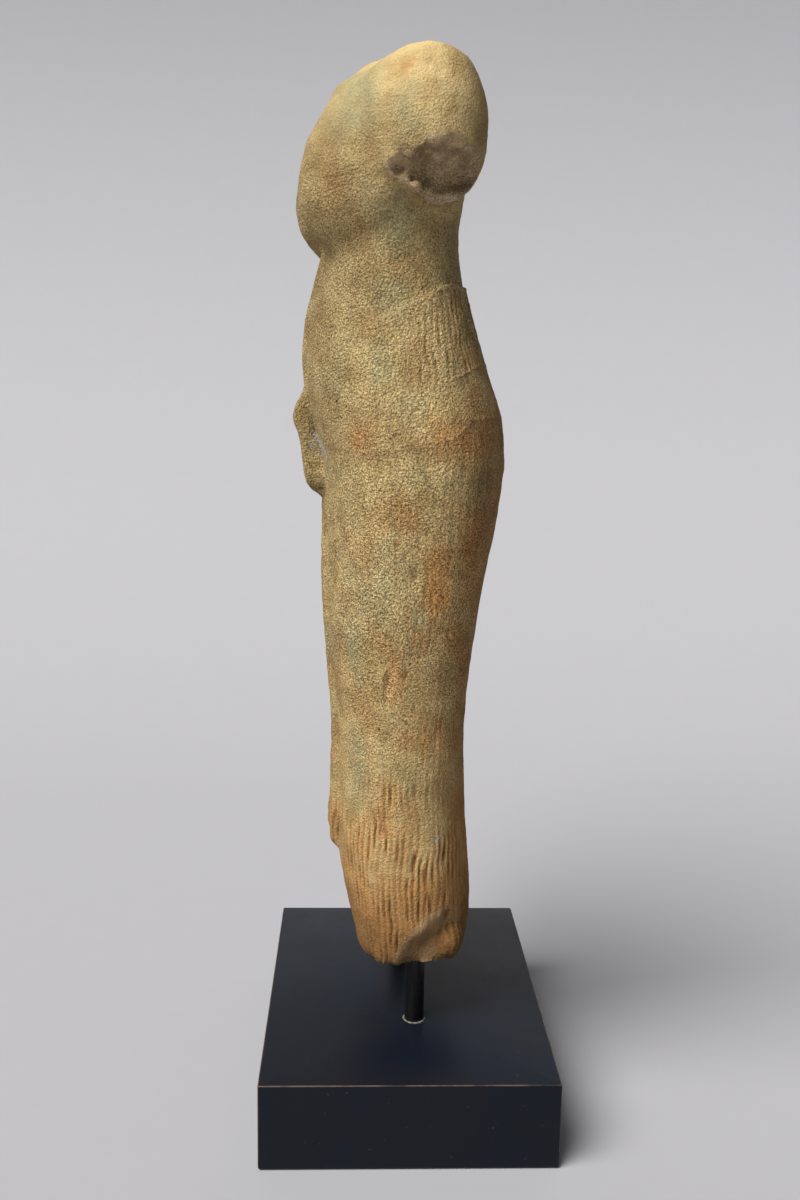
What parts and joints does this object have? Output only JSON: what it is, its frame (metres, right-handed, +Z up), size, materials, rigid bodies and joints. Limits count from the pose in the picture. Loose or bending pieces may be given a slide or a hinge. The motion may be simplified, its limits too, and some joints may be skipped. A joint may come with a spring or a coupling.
{
  "type": "sandstone torso sculpture",
  "caption": "Headless, armless sandstone torso of a standing woman in a pleated wrap skirt, held over a black block by black rods.",
  "frame": {"origin": "centre of the display block's underside", "axes": "+Z up along the standing figure; the block's long side runs along X, the figure faces -Y, turned 4 degrees about Z, and its left side is at +X"},
  "size_m": [0.16, 0.115, 0.4246],
  "materials": {
    "sandstone": "weathered fine-grained sandstone, grey-green to ochre with orange-brown stains",
    "black_paint": "wooden block in satin black paint, worn brown along its top edges",
    "black_steel": "satin black steel rod"
  },
  "bodies": {
    "root": {"sandstone_torso": "sandstone", "display_block": "black_paint", "left_leg_rod": "black_steel", "right_leg_rod": "black_steel"}
  },
  "joints": []
}
